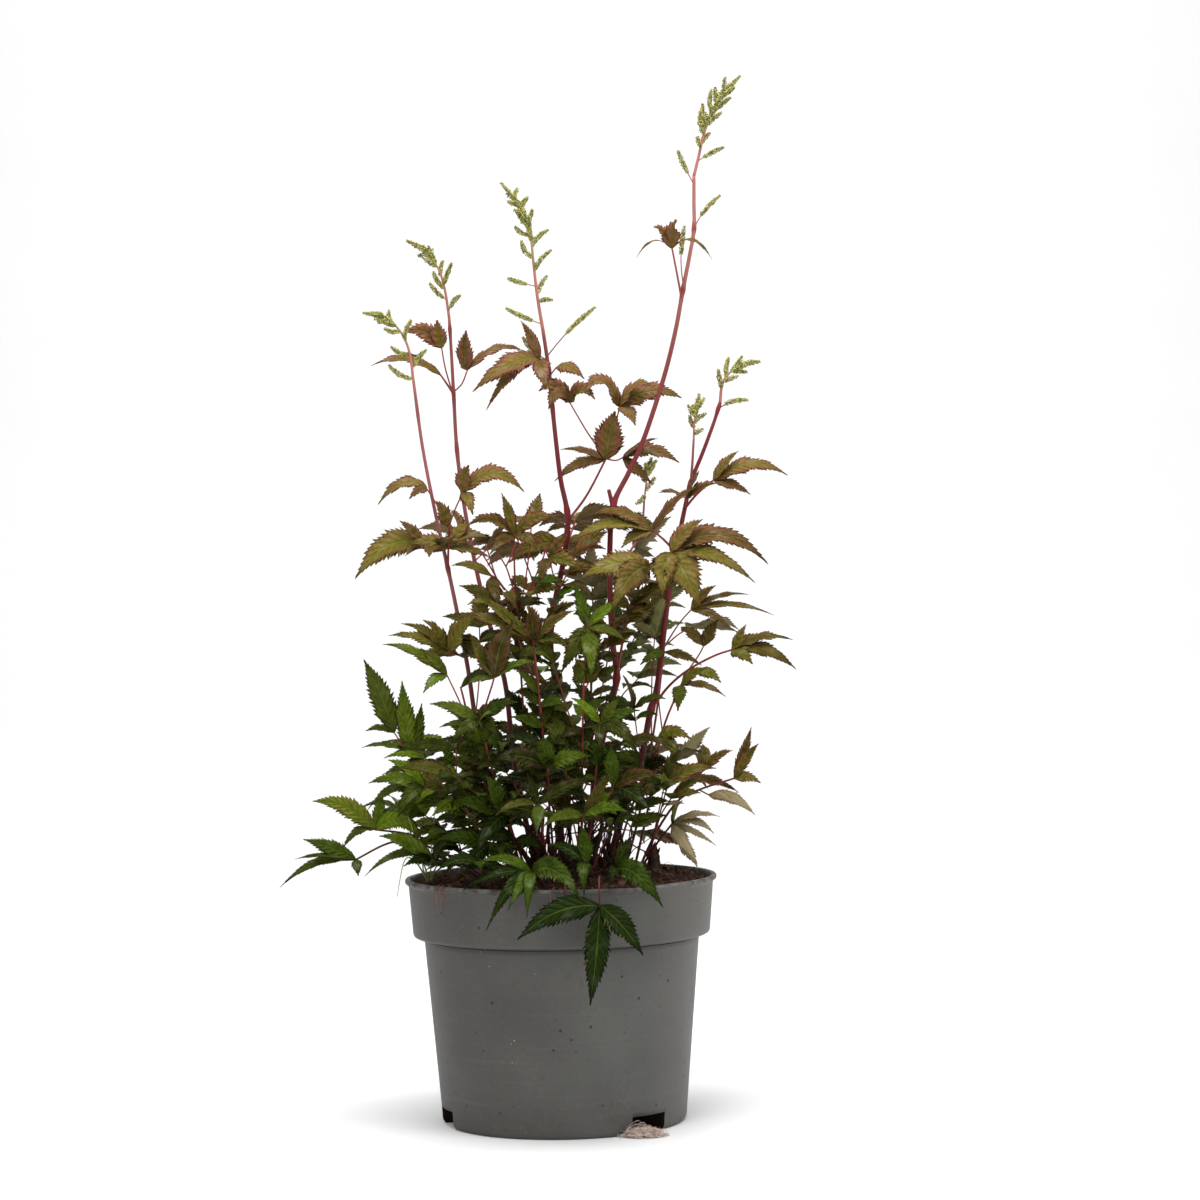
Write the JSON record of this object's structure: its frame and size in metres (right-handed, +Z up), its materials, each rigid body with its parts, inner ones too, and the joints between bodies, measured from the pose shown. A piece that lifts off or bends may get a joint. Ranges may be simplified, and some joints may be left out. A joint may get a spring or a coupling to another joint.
{
  "type": "potted astilbe plant",
  "caption": "Garden astilbe in a round nursery pot, with divided toothed leaves around slender red flower stalks that end in tight spikes of buds.",
  "frame": {"origin": "centre of the pot's underside, on the ground", "axes": "+Z up along the pot's axis, -Y towards the front of the plant, +X to the viewer's right"},
  "size_m": [0.318, 0.2375, 0.6343],
  "materials": {
    "pot_plastic": "matte grey injection-moulded plastic, dusty, with soil stains at the lip",
    "potting_soil": "dark brown moist peat with bark crumbs and roots",
    "crown_wood": "rough brown rootstock and old bark",
    "stalk": "smooth red-brown living stalk, green towards the top, finely haired",
    "flower_buds": "tight grainy yellow-green flower buds",
    "stem_foliage": "bronze-olive leaf with reddish margins, semi-gloss, veined",
    "basal_foliage": "dark green leaf, glossy above and paler below, veined, toothed",
    "grass": "thin fresh green grass",
    "coir_fibre": "loose light-brown coconut fibre"
  },
  "bodies": {
    "root": {"nursery_pot": "pot_plastic", "root_ball": "potting_soil", "crown": "crown_wood", "dead_stub": "crown_wood", "grass_blades": "grass", "fibre_tuft": "coir_fibre", "flower_stem_1": "stalk", "flower_stem_2": "stalk", "flower_stem_3": "stalk", "flower_stem_4": "stalk", "flower_stem_5": "stalk", "side_shoot_6": "stalk", "side_shoot_7": "stalk", "flower_spike_1": "flower_buds", "flower_spike_2": "flower_buds", "flower_spike_3": "flower_buds", "flower_spike_4": "flower_buds", "flower_spike_5": "flower_buds", "flower_spike_6": "flower_buds", "flower_spike_7": "flower_buds", "stem_leaf_01": "stem_foliage", "stem_leaf_02": "stem_foliage", "stem_leaf_03": "stem_foliage", "stem_leaf_04": "stem_foliage", "stem_leaf_05": "stem_foliage", "stem_leaf_06": "stem_foliage", "stem_leaf_07": "stem_foliage", "stem_leaf_08": "stem_foliage", "stem_leaf_09": "stem_foliage", "stem_leaf_10": "stem_foliage", "stem_leaf_11": "stem_foliage", "stem_leaf_12": "stem_foliage", "stem_leaf_13": "stem_foliage", "basal_leaf_01": "basal_foliage", "basal_leaf_02": "basal_foliage", "basal_leaf_03": "basal_foliage", "basal_leaf_04": "basal_foliage", "basal_leaf_05": "basal_foliage", "basal_leaf_06": "basal_foliage", "basal_leaf_07": "basal_foliage", "basal_leaf_08": "basal_foliage", "basal_leaf_09": "basal_foliage", "basal_leaf_10": "basal_foliage", "basal_leaf_11": "basal_foliage", "basal_leaf_12": "basal_foliage", "basal_leaf_13": "basal_foliage", "basal_leaf_14": "basal_foliage", "basal_leaf_15": "basal_foliage", "basal_leaf_16": "basal_foliage", "basal_leaf_17": "basal_foliage", "basal_leaf_18": "basal_foliage", "basal_leaf_19": "basal_foliage", "basal_leaf_20": "basal_foliage", "basal_leaf_21": "basal_foliage", "basal_leaf_22": "basal_foliage", "basal_leaf_23": "basal_foliage", "basal_leaf_24": "basal_foliage", "basal_leaf_25": "basal_foliage", "basal_leaf_26": "basal_foliage", "basal_leaf_27": "basal_foliage"}
  },
  "joints": []
}
